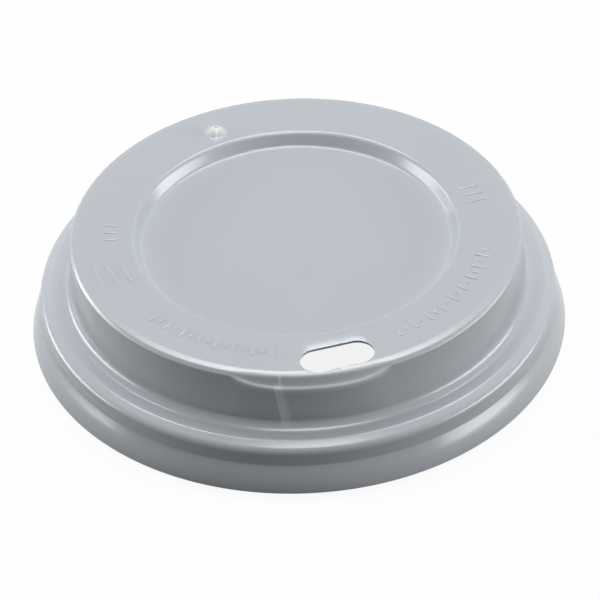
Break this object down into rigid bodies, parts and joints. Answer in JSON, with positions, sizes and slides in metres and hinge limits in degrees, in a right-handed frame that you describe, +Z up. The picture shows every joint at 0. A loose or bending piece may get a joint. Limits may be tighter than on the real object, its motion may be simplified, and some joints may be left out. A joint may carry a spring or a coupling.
{
  "type": "coffee cup lid",
  "caption": "Round domed sip-through lid for a hot drink cup: recessed top, slot by the edge, vent pimple, rim bead with undercut and flared skirt.",
  "frame": {"origin": "middle of the circle on which the skirt's edge stands, at the lid's lowest level", "axes": "+Z up along the axis of the round lid, -Y towards the drinking side, +X to the drinker's right hand when seen from that side"},
  "size_m": [0.094, 0.094, 0.0201],
  "materials": {
    "lid": "satin formed sheet"
  },
  "bodies": {
    "root": {"lid": "lid"}
  },
  "joints": []
}
